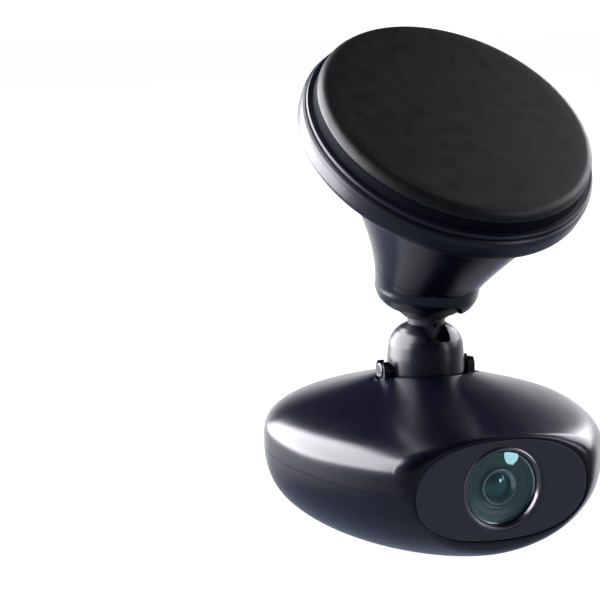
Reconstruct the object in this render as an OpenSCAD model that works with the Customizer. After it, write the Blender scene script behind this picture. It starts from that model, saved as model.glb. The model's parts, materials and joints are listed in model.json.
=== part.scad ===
// Dash camera: a pebble-shaped camera head that hangs from a windscreen mount.
// The head pitches on a cross pin, and a ball joint with two liners turns the mount.
// Origin: centre of the flat base, under the arm. +Z is up and the lens looks along -Y.

/* [Head] */
// Overall width of the head
head_w = 85; // [80:1:90]
// How far the front half would reach before its nose is cut flat
nose_reach = 57.7; // [56:0.1:59]
// How far the back half reaches
back_reach = 40; // [38:0.5:42]
// Distance from the arm's axis to the flat front face
face_y = 45.9; // [45:0.1:47]
// Height of the widest level
waist_z = 22.7; // [21:0.1:23]
// Height of the joint line between the two shells
seam_z = 20.5; // [19:0.1:21]
// Depth of the bowl curve below the widest level
bowl_h = 25; // [24:0.5:27]
// Height of the shoulder curve above the widest level
shoulder_h = 10.7; // [10:0.1:12]
// Extra height of the shallow cone that rises to the arm
cone_h = 9.6; // [9:0.1:11]
// Wall thickness of the shells
wall = 2; // [1.8:0.1:2.4]

/* [Lens] */
// Height of the lens axis
lens_z = 20.7; // [20:0.1:21.5]
// Half width of the front panel
panel_w2 = 22; // [21:0.1:23]
// Half height of the front panel
panel_h2 = 12.1; // [11.5:0.1:13]
// Outer radius of the lens bezel
bezel_r = 10.1; // [9.6:0.1:10.4]
// Radius of the clear front lens
front_lens_r = 8.7; // [8.5:0.1:9.2]

/* [Arm] */
// Height of the cross pin
pin_z = 39.6; // [39:0.1:40]
// Radius of the cross pin
pin_r = 2.1; // [1.8:0.1:2.3]
// Half length of the cross pin
pin_half = 13; // [12.5:0.1:13.5]
// Radius of the bell-shaped arm at its foot
bell_r = 10; // [9.5:0.1:10.2]
// Height of the top of the bell
bell_top_z = 51.4; // [51:0.1:52]
// Radius of the stem of the ball stud
stem_r = 4.85; // [4.5:0.05:5]

/* [Ball joint] */
// Height of the ball's centre
ball_z = 61; // [60.5:0.1:61.5]
// Radius of the ball
ball_r = 8.8; // [8.5:0.1:9]
// Thickness of each ball liner
liner_t = 0.8; // [0.7:0.05:0.9]
// Radial running clearance of the ball joint
fit = 0.05; // [0.03:0.01:0.1]
// Forward lean of the ball socket
socket_lean = 12; // [10:1:14]
// Forward lean of the joint between the collar and the neck
collar_seam_lean = 26; // [22:1:30]

/* [Mount] */
// Radius of the adhesive pad
pad_r = 35.1; // [34:0.1:36]
// Radius of the mounting plate's rim
rim_r = 37.7; // [37:0.1:38]
// Height of the pad's face centre
pad_z = 105.5; // [104:0.5:107]
// How far forward the pad's face centre lies
pad_forward = 14.07; // [13:0.1:15]
// Tilt of the pad's face away from level
pad_tilt = 37.9; // [35:0.1:40]
// Direction in which the mount leans, turned from straight ahead
mount_turn = 7.1; // [0:0.1:10]

/* [Hidden] */
$fn = 64;

big = 200;
head_r = head_w / 2;
plan_power = 1.83;
bowl_power = 2.5;
shoulder_power = 3.2;
cone_power = 2;
nose_lift = 1.6;
nose_lift_start = 8;
base_z = 0.4;
foot_h = 1.4;
foot_r = 21.5;
around_outer = 56;
around_inner = 40;
front_wall = 3.3;
panel_t = 2;
panel_power = 2.35;
panel_z = 20.4;
panel_gap = 0.12;
lens_hole_r = 11;

pocket_r = bell_r + 0.6;
pocket_wall = 1.6;
groove_r = pin_r + 0.5;
jaw_in = pocket_r + 0.2;
jaw_out = pin_half - 0.4;
jaw_r = pin_r + 0.9;
bridge_z = 25.2;
bridge_t = 1.8;
cradle_screw_x = 19.5;

board_z = 12;
board_t = 1.2;
board_top = board_z + board_t;
board_post = [[-19, 18], [19, 18], [-19, -14], [19, -14]];
shell_post = [[-26, 14], [26, 14], [-27, -16], [27, -16]];
holder_post = [[-11.3, -28.7], [11.3, -28.7]];
holder_ear_z = 12.2;
holder_ear_t = 1.6;
socket_x = -6;
card_x = 7;
button_x = -15;
guide_x = -19.5;
port_z = board_top + 1.65;
socket_end_y = 37.2;
card_end_y = 37.9;
button_end_y = 34.6;
guide_end_y = 33.1;
card_size = [11, 15, 0.8];
speaker_y = 9;

inner_liner_r = ball_r + fit + liner_t;
outer_liner_r = inner_liner_r + fit + liner_t;
seat_r = outer_liner_r + fit;
cap_bore_r = seat_r + 0.35;
rim_drop = 4.9;
seam_height = 5.6;
disc_h = 12.7;
neck_base_r = 13.5;
neck_top_r = 32.8;
neck_bulge = 5.1;
neck_power = 1.3;
neck_base_lean = 2;
neck_wall = 2.4;
around_neck = 44;
screw_turns = [45, 135, 225, 315];
pad_t = 3;
carrier_t = 2.4;
trim_t = 1.2;
web_t = 2;
plate_top = -(pad_t + carrier_t + trim_t);

// ---- Head: outline functions ----

function plan_point(a, front, back, turn) =
  let (c = cos(turn), s = sin(turn), b = s < 0 ? front : back,
       r = pow(pow(abs(c) / a, plan_power) + pow(abs(s) / b, plan_power), -1 / plan_power))
  [r * c, r * s];

function bowl_rho(z) = pow(1 - pow((waist_z - z) / bowl_h, bowl_power), 1 / bowl_power);

// One level of the top: t runs from 0 at the widest level to 90 at the middle.
function shoulder_level(t) =
  let (rho = pow(cos(t), 2 / shoulder_power))
  [waist_z + shoulder_h * pow(sin(t), 2 / shoulder_power) + cone_h * pow(1 - rho, cone_power),
   rho];

function lifted(p, z) =
  let (f = max(0, min(1, (-p[1] - nose_lift_start) / (face_y - nose_lift_start))),
       up = max(0, min(1, (z - base_z) / 10)))
  [p[0], p[1], z + nose_lift * f * f * up];

// A level is [z, share of the full plan]; inset moves its outline inwards.
function level_ring(level, inset, count) =
  [for (i = [0:count - 1])
    lifted(level[1] * plan_point(head_r - inset, nose_reach - inset * 1.3,
                                 back_reach - inset, 360 * i / count), level[0])];

// Skin between rings of equal count, closed at both ends.
module ringed(rings) {
  n = len(rings[0]);
  m = len(rings);
  points = [for (ring = rings) for (p = ring) p];
  sides = [for (k = [0:m - 2]) for (i = [0:n - 1])
    let (j = (i + 1) % n, a = k * n + i, b = k * n + j, c = a + n, d = b + n)
    each [[a, c, b], [b, c, d]]];
  first = [for (i = [1:n - 2]) [0, i, i + 1]];
  last = [for (i = [1:n - 2]) [(m - 1) * n, (m - 1) * n + i + 1, (m - 1) * n + i]];
  polyhedron(points = points, faces = concat(first, last, sides), convexity = 6);
}

top_steps = [16, 28, 38, 47, 56, 65, 74, 82, 87];
module top_half(inset, count, low) {
  levels = concat([[low, 1], [waist_z - 0.5 * inset, 1]],
                  [for (t = top_steps) shoulder_level(t) - [inset, 0]]);
  ringed([for (l = levels) level_ring(l, inset, count)]);
}

module bottom_half(inset, count, steps) {
  low = base_z + inset;
  levels = concat([for (k = [0:steps])
                    let (z = low + (seam_z - low) * pow(k / steps, 1.6))
                    [z, bowl_rho(z - inset)]],
                  [[waist_z + 1, 1]]);
  ringed([for (l = levels) level_ring(l, inset, count)]);
}

module above(z) translate([-big / 2, -big / 2, z]) cube(big);
module below(z) translate([-big / 2, -big / 2, z - big]) cube(big);
module in_front_of(y) translate([-big / 2, -y - big, -big / 2]) cube(big);

module face_cylinder(r, y_front, depth)
  translate([0, y_front, lens_z]) rotate([-90, 0, 0]) cylinder(r = r, h = depth);

module panel_outline(grow) polygon([for (i = [0:71])
  let (c = cos(5 * i), s = sin(5 * i), e = 2 / panel_power)
  [(panel_w2 + grow) * sign(c) * pow(abs(c), e), (panel_h2 + grow) * sign(s) * pow(abs(s), e)]]);

module panel_block(grow, depth)
  translate([0, -face_y - 1, panel_z]) rotate([-90, 0, 0])
    linear_extrude(height = depth + 1) panel_outline(grow);

// Openings that both shells share: the panel's seat and the lens hole.
module front_cuts() {
  in_front_of(face_y);
  panel_block(panel_gap, panel_t);
  face_cylinder(lens_hole_r, -face_y, 8);
}

module post(x, y, z0, z1, r) translate([x, y, z0]) cylinder(r = r, h = z1 - z0);

// ---- Head: shells ----

module upper_shell() color([0.07, 0.07, 0.10]) {
  post_r = 2.8;
  difference() {
    union() {
      difference() {
        top_half(0, around_outer, 16);
        difference() {
          top_half(wall, around_inner, 14);
          in_front_of(face_y - front_wall);
        }
      }
      // Round pocket that takes the foot of the bell.
      intersection() {
        translate([0, 0, pin_z]) sphere(r = pocket_r + pocket_wall);
        below(pin_z - 2.2);
      }
      for (p = shell_post) post(p[0], p[1], seam_z, 31.5 - 0.07 * abs(p[1]), post_r);
      for (x = [-cradle_screw_x, cradle_screw_x]) post(x, 0, bridge_z + bridge_t, 34.8, 2.6);
    }
    below(seam_z);
    front_cuts();
    translate([0, 0, pin_z]) sphere(r = pocket_r);
    for (s = [-1, 1]) {
      translate([s * (pocket_r + 2), 0, pin_z]) rotate([0, 90, 0])
        cylinder(r = groove_r, h = 6, center = true);
      translate([s * (jaw_in + jaw_out) / 2, 0, pin_z - 6])
        cube([jaw_out - jaw_in + 0.8, 2 * jaw_r + 0.6, 16], center = true);
    }
    for (p = shell_post) post(p[0], p[1], seam_z - 1, seam_z + 7, 1);
    for (x = [-cradle_screw_x, cradle_screw_x]) post(x, 0, bridge_z, bridge_z + 7, 0.9);
  }
}

module lower_shell() color([0.07, 0.07, 0.10]) {
  difference() {
    union() {
      difference() {
        bottom_half(0, around_outer, 8);
        difference() {
          bottom_half(wall, around_inner, 6);
          in_front_of(face_y - front_wall);
        }
      }
      for (p = shell_post) post(p[0], p[1], 4.5, seam_z, 2.8);
      for (p = board_post) post(p[0], p[1], 1.5, board_z, 2.4);
      for (p = holder_post) post(p[0], p[1], 1.5, holder_ear_z, 1.7);
    }
    above(seam_z);
    front_cuts();
    // Seat of the foot.
    post(0, 0, -1, foot_h, foot_r + 0.1);
    for (p = shell_post) {
      post(p[0], p[1], -1, seam_z + 1, 1.2);
      post(p[0], p[1], -1, seam_z - 9, 2.1);
    }
    for (p = board_post) post(p[0], p[1], 4, board_z + 1, 0.8);
    for (p = holder_post) post(p[0], p[1], 4, board_z + 1, 0.7);
    // Openings in the back wall for power, card, button and light.
    translate([socket_x - 4.7, 25, port_z - 1.85]) cube([9.4, 20, 3.7]);
    translate([card_x - card_size[0] / 2 - 0.3, 25, port_z - 1]) cube([card_size[0] + 0.6, 20, 2]);
    translate([button_x, 25, port_z]) rotate([-90, 0, 0]) cylinder(r = 1.9, h = 20);
    translate([guide_x, 20, port_z]) rotate([-90, 0, 0]) cylinder(r = 1.1, h = 25);
    sound_holes();
  }
}

module sound_holes() for (k = [0:6])
  post(k > 5 ? 0 : 3.4 * cos(60 * k), speaker_y + (k > 5 ? 0 : 3.4 * sin(60 * k)), -1, 5, 0.7);

module foot_pad() color([0.05, 0.05, 0.06]) difference() {
  post(0, 0, 0, foot_h, foot_r);
  sound_holes();
}

// ---- Head: lens ----

module front_panel() color([0.16, 0.17, 0.22]) difference() {
  intersection() {
    panel_block(0, panel_t);
    translate([-big / 2, -face_y, -big / 2]) cube(big);
  }
  face_cylinder(bezel_r, -face_y - 2, 8);
}

// Ring about the lens axis; the profile is [radius, depth behind the face].
module lens_ring(profile)
  translate([0, -face_y, lens_z]) rotate([-90, 0, 0]) rotate_extrude() polygon(profile);

module lens_bezel() color([0.55, 0.56, 0.62]) lens_ring([
  [front_lens_r + 0.15, 0.5], [front_lens_r + 0.45, -0.25], [bezel_r - 0.3, -0.3], [bezel_r, 0],
  [bezel_r, 2.6], [front_lens_r - 0.5, 2.6], [front_lens_r - 0.5, 2.0], [front_lens_r + 0.15, 2.0]]);

module front_lens() color([0.10, 0.22, 0.26, 0.5]) {
  sag = 1;
  steps = 6;
  lens_ring(concat(
    [[0, 1.9], [front_lens_r, 1.9]],
    [for (k = [0:steps]) let (r = front_lens_r * (1 - k / steps))
      [r, 0.8 - sag * (1 - pow(r / front_lens_r, 2))]]));
}

module lens_baffle() color([0.08, 0.16, 0.18]) lens_ring([
  [8.4, 2.65], [8.4, 3.3], [6.0, 3.9], [6.0, 6.2], [4.5, 6.2], [4.5, 3.1], [8.0, 2.65]]);

module inner_ring() color([0.25, 0.3, 0.33]) lens_ring([
  [3.2, 2.6], [3.9, 2.2], [4.4, 2.5], [4.4, 4.2], [3.2, 4.2]]);

module inner_lens() color([0.05, 0.10, 0.13, 0.6]) lens_ring([
  [0, 2.7], [1.2, 2.8], [2.3, 3.1], [3.1, 3.6], [3.1, 5.2], [0, 5.2]]);

module lens_barrel() color([0.12, 0.12, 0.14]) lens_ring([
  [3.1, 5.3], [4.4, 5.3], [4.4, 6.3], [6, 6.3], [6, 17], [4.2, 17], [4.2, 8], [3.1, 8]]);

module rear_lens() color([0.35, 0.45, 0.5, 0.5]) {
  lens_ring([[0, 8.6], [2, 8.8], [4.15, 9.6], [4.15, 10.4], [0, 10.4]]);
  lens_ring([[0, 12.2], [2.4, 12.4], [4.15, 13], [4.15, 14.6], [0, 14.2]]);
}

module aperture_stop() color([0.02, 0.02, 0.02])
  lens_ring([[1.4, 11.1], [4.15, 11.1], [4.15, 11.5], [1.6, 11.5]]);

holder_y = -face_y + 9;
sensor_y = -face_y + 20;
module lens_holder() color([0.1, 0.1, 0.11]) difference() {
  union() {
    face_cylinder(7.6, holder_y, 6);
    translate([-8.5, holder_y + 5.5, lens_z - 8.5]) cube([17, 5.4, 17]);
    translate([-13.5, holder_y + 5.5, holder_ear_z]) cube([27, 5.4, holder_ear_t]);
  }
  face_cylinder(6, holder_y - 1, 9);
  for (p = holder_post) post(p[0], p[1], holder_ear_z - 1, holder_ear_z + 3, 0.9);
  translate([-6, holder_y + 8, lens_z - 6]) cube([12, 4, 12]);
}

module holder_screws() color([0.6, 0.6, 0.62]) for (p = holder_post)
  translate([p[0], p[1], holder_ear_z + holder_ear_t + 1.1]) rotate([180, 0, 0]) screw(0.7, 4.5, 1.6, 1.1);

module ir_filter() color([0.5, 0.25, 0.3, 0.4])
  translate([-5.9, holder_y + 8.05, lens_z - 5.9]) cube([11.8, 0.5, 11.8]);

module image_sensor() color([0.2, 0.2, 0.28])
  translate([-4.5, sensor_y - 1.5, lens_z - 4]) cube([9, 1.4, 8]);

module sensor_board() color([0.05, 0.25, 0.15])
  translate([-10.5, sensor_y, lens_z - 9]) cube([21, 1, 14.5]);

// The flat flex runs back from the sensor board, then down to the main board.
module ribbon_cable() color([0.75, 0.5, 0.2]) {
  t = 0.3;
  run = 9;
  translate([-4, sensor_y + 1.05, lens_z - 6]) cube([8, t, 4]);
  translate([-4, sensor_y + 1.05, lens_z - 6 - t]) cube([8, run, t]);
  translate([-4, sensor_y + 1.05 + run - t, board_top + 0.05]) cube([8, t, lens_z - 6 - board_top]);
}

// ---- Head: electronics ----

module main_board() color([0.05, 0.25, 0.15]) difference() {
  intersection() {
    translate([0, 4, board_z]) cylinder(r = 28.6, h = board_t);
    translate([-22.5, -18, board_z - 1]) cube([45, 51, 4]);
  }
  for (p = board_post) post(p[0], p[1], board_z - 1, board_z + 3, 1.2);
}

module processor() color([0.12, 0.12, 0.13])
  translate([-7, -6, board_top + 0.02]) cube([14, 14, 1.2]);

module memory_chip() color([0.12, 0.12, 0.13]) for (x = [-17, 10])
  translate([x, -4, board_top + 0.02]) cube([7, 10, 1]);

module thermal_pad() color([0.5, 0.55, 0.65])
  translate([-6.5, -5.5, board_top + 1.24]) cube([13, 13, 1.2]);

module heat_spreader() color([0.7, 0.7, 0.72])
  translate([-14, -9, board_top + 2.46]) cube([28, 20, 1.2]);

module backup_capacitors() color([0.15, 0.2, 0.45]) for (s = [-1, 1])
  translate([s * 5.5, -7, 8.1]) rotate([-90, 0, 0]) cylinder(r = 3.6, h = 20);

module card_socket() color([0.7, 0.7, 0.72]) difference() {
  translate([card_x - 6.9, card_end_y - 17, board_top + 0.02]) cube([13.8, 11.4, 3]);
  translate([card_x - card_size[0] / 2 - 0.3, card_end_y - card_size[1] - 0.5, port_z - 0.7])
    cube([card_size[0] + 0.6, 20, 1.4]);
}

module memory_card() color([0.1, 0.1, 0.12])
  translate([card_x - card_size[0] / 2, card_end_y - card_size[1], port_z - card_size[2] / 2])
    cube(card_size);

module power_socket() color([0.72, 0.72, 0.74]) difference() {
  translate([socket_x - 4.5, socket_end_y - 8, port_z - 1.6]) cube([9, 8, 3.2]);
  translate([socket_x - 4.1, socket_end_y - 7, port_z - 1.2]) cube([8.2, 8, 2.4]);
}

module speaker() color([0.2, 0.2, 0.2]) translate([0, speaker_y, base_z + wall + 0.1]) difference() {
  cylinder(r = 7, h = 1.5);
  translate([0, 0, -0.5]) cylinder(r = 4.8, h = 1);
}

module microphone() color([0.75, 0.7, 0.5])
  translate([-21.5, 4, board_top + 0.02]) cube([3, 4, 1]);

module antenna() color([0.8, 0.6, 0.3])
  translate([-30, -9, seam_z + 3]) cube([1, 17, 5]);

module status_led() color([0.2, 0.5, 0.9])
  translate([guide_x - 1, 21.6, board_top + 0.02]) cube([2, 2, 2.4]);

module light_guide() color([0.8, 0.85, 0.9, 0.6])
  translate([guide_x, 23.7, port_z]) rotate([-90, 0, 0]) cylinder(r = 1.08, h = guide_end_y - 23.7);

module reset_switch() color([0.6, 0.6, 0.6])
  translate([button_x - 2.5, 20, board_top + 0.02]) cube([5, 4, 3.4]);

module reset_button() color([0.07, 0.07, 0.10])
  translate([button_x, button_end_y, port_z]) rotate([90, 0, 0]) union() {
    cylinder(r = 1.6, h = button_end_y - 24.7);
    translate([0, 0, 4]) cylinder(r = 2.4, h = 0.6);
  }

// ---- Fasteners ----

// A small cap screw with its head at the origin and its shank upwards.
module screw(shank_r, length, head_r, head_h) {
  difference() {
    cylinder(r = head_r, h = head_h);
    translate([0, 0, -0.1]) cylinder(r = head_r * 0.5, h = head_h * 0.6, $fn = 6);
  }
  translate([0, 0, head_h - 0.01]) cylinder(r = shank_r, h = length);
}

module board_screws() color([0.6, 0.6, 0.62]) for (p = board_post)
  translate([p[0], p[1], board_top + 1.4]) rotate([180, 0, 0]) screw(0.8, 5, 1.9, 1.4);

module shell_screws() color([0.6, 0.6, 0.62]) for (p = shell_post)
  translate([p[0], p[1], seam_z - 10.6]) screw(1, 15, 2, 1.6);

module cradle_screws() color([0.6, 0.6, 0.62]) for (x = [-cradle_screw_x, cradle_screw_x])
  translate([x, 0, bridge_z - 1.3]) screw(0.9, 6.5, 1.8, 1.3);

// ---- Hinge and arm ----

module hinge_cradle() color([0.10, 0.10, 0.12]) difference() {
  union() {
    translate([-cradle_screw_x - 3, -4, bridge_z]) cube([2 * cradle_screw_x + 6, 8, bridge_t]);
    for (s = [-1, 1]) translate([s * (jaw_in + jaw_out) / 2, 0, 0]) {
      translate([0, 0, pin_z]) rotate([0, 90, 0]) cylinder(r = jaw_r, h = jaw_out - jaw_in, center = true);
      translate([0, 0, (pin_z + bridge_z) / 2])
        cube([jaw_out - jaw_in, 2 * jaw_r, pin_z - bridge_z], center = true);
    }
  }
  translate([0, 0, pin_z]) rotate([0, 90, 0]) cylinder(r = pin_r + fit, h = 2 * pin_half + 1, center = true);
  translate([0, 0, pin_z + 2]) cube([2 * pin_half + 2, 2 * pin_r - 0.5, 4], center = true);
  for (x = [-cradle_screw_x, cradle_screw_x]) post(x, 0, bridge_z - 1, bridge_z + 4, 1);
}

module hinge_bell() color([0.16, 0.16, 0.19]) {
  notch_w = 6.6;
  notch_z = 47.9;
  difference() {
    union() {
      intersection() {
        translate([0, 0, pin_z]) sphere(r = bell_r);
        below(pin_z);
      }
      rotate_extrude() polygon([
        [0, pin_z], [bell_r, pin_z], [bell_r - 0.15, 43], [bell_r - 0.45, 46.2], [bell_r - 0.9, 47.7],
        [bell_r - 1.9, 49.3], [bell_r - 3.2, 50.5], [bell_r - 4.4, 51.1], [stem_r + 0.2, bell_top_z],
        [0, bell_top_z]]);
    }
    translate([0, 0, 45]) cylinder(r = stem_r, h = 10);
    translate([-big / 2, 0, pin_z]) rotate([0, 90, 0]) cylinder(r = pin_r, h = big);
    translate([-notch_w / 2, -bell_r - 1, notch_z]) cube([notch_w, bell_r - 2.5, 10]);
  }
}

module cross_pin() color([0.06, 0.06, 0.07])
  translate([-pin_half, 0, pin_z]) rotate([0, 90, 0]) rotate_extrude() polygon([
    [0, 0], [pin_r - 0.5, 0], [pin_r, 0.5], [pin_r, 2 * pin_half - 0.5],
    [pin_r - 0.5, 2 * pin_half], [0, 2 * pin_half]]);

module ball_stud() color([0.16, 0.16, 0.19]) difference() {
  union() {
    translate([0, 0, 45]) cylinder(r = stem_r, h = ball_z - 45 - 4);
    translate([0, 0, ball_z]) sphere(r = ball_r);
  }
  translate([0, 1, 51.7]) rotate([90, 0, 0]) cylinder(r = 1.1, h = 10);
}

module stem_screw() color([0.04, 0.04, 0.05])
  translate([0, 1, 51.7]) rotate([90, 0, 0]) difference() {
    cylinder(r = 1.1, h = stem_r + 1.7);
    translate([0, 0, stem_r + 0.7]) cylinder(r = 0.55, h = 2, $fn = 6);
  }

// ---- Ball joint ----

// Frame at the ball's centre, with +Z leaning forward along the mount.
module at_ball(lean) translate([0, 0, ball_z]) rotate([0, 0, mount_turn]) rotate([lean, 0, 0]) children();

// Frame at the centre of the pad's face, with +Z out of the face.
module at_pad() rotate([0, 0, mount_turn]) translate([0, -pad_forward, pad_z]) rotate([pad_tilt, 0, 0]) children();

module inner_liner() color([0.85, 0.85, 0.82]) translate([0, 0, ball_z]) difference() {
  sphere(r = inner_liner_r);
  sphere(r = ball_r + fit);
  translate([0, 0, -big]) cylinder(r = stem_r + 0.5, h = big);
  above(5);
}

module outer_liner() color([0.75, 0.75, 0.72]) at_ball(socket_lean) difference() {
  sphere(r = outer_liner_r);
  sphere(r = inner_liner_r + fit);
  translate([0, 0, -outer_liner_r]) cylinder(r1 = outer_liner_r * 1.88, r2 = 0, h = outer_liner_r);
  above(5.5);
}

// Rings of the neck, from the ball's centre (t = 0) to the plate (t = 1).
plate_mid = [0, -pad_forward + disc_h * sin(pad_tilt), pad_z - disc_h * cos(pad_tilt)];
function neck_lean(t) = neck_base_lean + (pad_tilt - neck_base_lean) * t;
function neck_radius(t) = neck_base_r + (neck_top_r - neck_base_r) * pow(max(0, t), neck_power);
function neck_mid(t) = [0, 0, ball_z] + (plate_mid - [0, 0, ball_z]) * t
                       - [0, neck_bulge * 4 * max(0, t) * (1 - t), 0];
function neck_ring(t, inset) =
  let (m = neck_mid(t), r = neck_radius(t) - inset, a = neck_lean(t))
  [for (i = [0:around_neck - 1])
    let (u = 360 * i / around_neck)
    [r * cos(u), m[1] + r * sin(u) * cos(a), m[2] + r * sin(u) * sin(a)]];

function plate_ring(up, inset) =
  [for (p = neck_ring(1, inset)) p + up * [0, -sin(pad_tilt), cos(pad_tilt)]];

// Solid inside the neck's outline; top continues it straight up from the last ring.
neck_steps = [-0.2, 0, 0.1, 0.22, 0.34, 0.46, 0.58, 0.7, 0.8, 0.9, 1];
module neck_solid(from, to, inset, top = 0) rotate([0, 0, mount_turn])
  ringed(concat([for (t = neck_steps) if (t >= from && t <= to) neck_ring(t, inset)],
                top > 0 ? [plate_ring(top, inset)] : []));

module above_collar_seam() translate([0, 0, ball_z + seam_height]) rotate([0, 0, mount_turn])
  rotate([collar_seam_lean, 0, 0]) above(0);
module below_collar_seam() translate([0, 0, ball_z + seam_height]) rotate([0, 0, mount_turn])
  rotate([collar_seam_lean, 0, 0]) below(0);

// Space round the ball for the liners, the cap and its spring.
module ball_space() {
  at_ball(socket_lean) {
    sphere(r = seat_r);
    cylinder(r = cap_bore_r, h = 15);
  }
}

tongue = [1.6, 5, 6];
module tongues(gap) for (s = [-1, 1]) rotate([0, 0, mount_turn])
  translate([s * 12.35, -1, ball_z + seam_height - 0.4])
    cube([tongue[0] - 0.4 + gap, tongue[1] + gap, tongue[2] + gap], center = true);

module ball_collar() color([0.10, 0.10, 0.14]) {
  notch_r = 5.3;
  difference() {
    union() {
      difference() {
        intersection() {
          neck_solid(-0.2, 0.46, 0);
          at_ball(socket_lean) rotate_extrude() polygon([
            [0, -rim_drop], [9.9, -rim_drop], [11.2, -4.4], [12.3, -3.3], [13, -1.8], [14.2, 0.6],
            [20, 2.2], [20, 18], [0, 18]]);
        }
        above_collar_seam();
      }
      tongues(0);
    }
    ball_space();
    at_ball(socket_lean - 62) translate([0, 0, -20]) cylinder(r = notch_r, h = 20);
  }
}

module pressure_cap() color([0.8, 0.8, 0.78]) at_ball(socket_lean) difference() {
  translate([0, 0, 6]) cylinder(r = cap_bore_r - fit, h = 6.6);
  sphere(r = seat_r);
}

module wave_spring() color([0.6, 0.6, 0.62]) at_ball(socket_lean) translate([0, 0, 12.6])
  difference() {
    cylinder(r = 10, h = 2.4);
    translate([0, 0, -1]) cylinder(r = 7, h = 5);
  }

module mount_neck() color([0.07, 0.07, 0.10]) {
  neck_top = disc_h + plate_top - web_t;
  difference() {
    union() {
      difference() {
        neck_solid(0, 1, 0, neck_top);
        neck_solid(0.46, 1, neck_wall, neck_top + 2);
      }
      at_pad() for (a = screw_turns) rotate([0, 0, a])
        translate([neck_top_r - 5, 0, -disc_h + 1]) cylinder(r = 3, h = neck_top - 1.3);
    }
    below_collar_seam();
    ball_space();
    tongues(0.2);
    at_pad() for (a = screw_turns) rotate([0, 0, a])
      translate([neck_top_r - 5, 0, -disc_h + 1.6]) cylinder(r = 1, h = disc_h);
  }
}

// ---- Mounting plate and pad ----

module neck_screws() color([0.6, 0.6, 0.62]) at_pad() for (a = screw_turns)
  rotate([0, 0, a]) translate([neck_top_r - 5, 0, plate_top - 0.05])
    rotate([180, 0, 0]) screw(1, 3, 1.9, 1.2);

module mount_plate() color([0.13, 0.13, 0.18]) at_pad() difference() {
  rotate_extrude() polygon([
    [0, plate_top], [rim_r - 0.9, plate_top], [rim_r - 0.3, plate_top - 0.4],
    [rim_r, plate_top - 1.6], [rim_r - 0.1, plate_top - 4.4], [rim_r - 0.4, plate_top - 5.5],
    [rim_r - 1, -disc_h], [neck_top_r + 0.1, -disc_h], [neck_top_r + 0.1, plate_top - web_t],
    [0, plate_top - web_t]]);
  for (a = screw_turns) rotate([0, 0, a]) translate([neck_top_r - 5, 0, 0]) {
    translate([0, 0, plate_top - web_t - 1]) cylinder(r = 1.1, h = 5);
    translate([0, 0, plate_top - 1.25]) cylinder(r = 2, h = 5);
  }
}

module trim_ring() color([0.5, 0.5, 0.58]) at_pad() rotate_extrude() polygon([
  [pad_r - 1.6, plate_top], [rim_r - 1.1, plate_top], [rim_r - 1.1, plate_top + 0.5],
  [rim_r - 0.8, plate_top + 0.8], [rim_r - 1.1, plate_top + trim_t],
  [pad_r - 1.6, plate_top + trim_t]]);

module pad_carrier() color([0.05, 0.05, 0.10]) at_pad() rotate_extrude() polygon([
  [0, -pad_t], [pad_r - 0.3, -pad_t], [pad_r + 0.3, -pad_t - carrier_t],
  [pad_r - 1.7, -pad_t - carrier_t], [pad_r - 1.7, plate_top], [0, plate_top]]);

module adhesive_pad() color([0.13, 0.13, 0.13]) at_pad() rotate_extrude() polygon(concat(
  [[0, 0]],
  [for (k = [0:6]) let (a = 90 - 15 * k) [pad_r - 2 + 2 * cos(a), -2 + 2 * sin(a)]],
  [[pad_r, -pad_t + 0.4], [pad_r - 0.3, -pad_t], [0, -pad_t]]));

upper_shell();
lower_shell();
foot_pad();
front_panel();
lens_bezel();
front_lens();
lens_baffle();
inner_ring();
inner_lens();
lens_barrel();
rear_lens();
aperture_stop();
lens_holder();
holder_screws();
ir_filter();
image_sensor();
sensor_board();
ribbon_cable();
main_board();
processor();
memory_chip();
thermal_pad();
heat_spreader();
backup_capacitors();
card_socket();
memory_card();
power_socket();
speaker();
microphone();
antenna();
status_led();
light_guide();
reset_switch();
reset_button();
board_screws();
shell_screws();
hinge_cradle();
cradle_screws();
hinge_bell();
cross_pin();
ball_stud();
stem_screw();
inner_liner();
outer_liner();
ball_collar();
pressure_cap();
wave_spring();
mount_neck();
neck_screws();
mount_plate();
trim_ring();
pad_carrier();
adhesive_pad();
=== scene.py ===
"""Looks for the dash camera: smooth skins, procedural finishes, studio light and camera."""
import json
import math

import bmesh
import bpy
import numpy as np
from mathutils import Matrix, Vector


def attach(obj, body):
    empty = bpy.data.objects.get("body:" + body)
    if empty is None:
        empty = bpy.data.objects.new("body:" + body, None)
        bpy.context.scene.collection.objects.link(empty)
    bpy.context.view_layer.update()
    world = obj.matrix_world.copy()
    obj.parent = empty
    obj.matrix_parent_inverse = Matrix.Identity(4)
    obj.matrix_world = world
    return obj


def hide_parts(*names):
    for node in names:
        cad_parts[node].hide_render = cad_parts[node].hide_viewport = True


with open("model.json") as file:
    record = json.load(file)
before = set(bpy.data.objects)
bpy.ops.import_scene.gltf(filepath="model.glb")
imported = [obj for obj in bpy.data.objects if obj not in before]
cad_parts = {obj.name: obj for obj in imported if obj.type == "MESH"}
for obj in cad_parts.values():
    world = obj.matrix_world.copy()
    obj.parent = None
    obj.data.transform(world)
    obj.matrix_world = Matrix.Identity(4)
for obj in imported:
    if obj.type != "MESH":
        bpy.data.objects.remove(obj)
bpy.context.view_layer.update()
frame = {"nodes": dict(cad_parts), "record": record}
nodes = frame["nodes"]
MM = 0.001

# ---- Camera ----

VIEW_FROM = (-0.15222, -0.34702, 0.12853)
VIEW_DOWN, VIEW_TURN = 10.7, -18.78
cam_data = bpy.data.cameras.new("camera")
cam_data.lens = 90
cam_data.sensor_width = 36
cam_data.clip_start = 0.01
camera = bpy.data.objects.new("camera", cam_data)
camera.location = VIEW_FROM
camera.rotation_euler = (math.radians(90 - VIEW_DOWN), 0, math.radians(VIEW_TURN))
bpy.context.scene.collection.objects.link(camera)
bpy.context.scene.camera = camera

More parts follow.
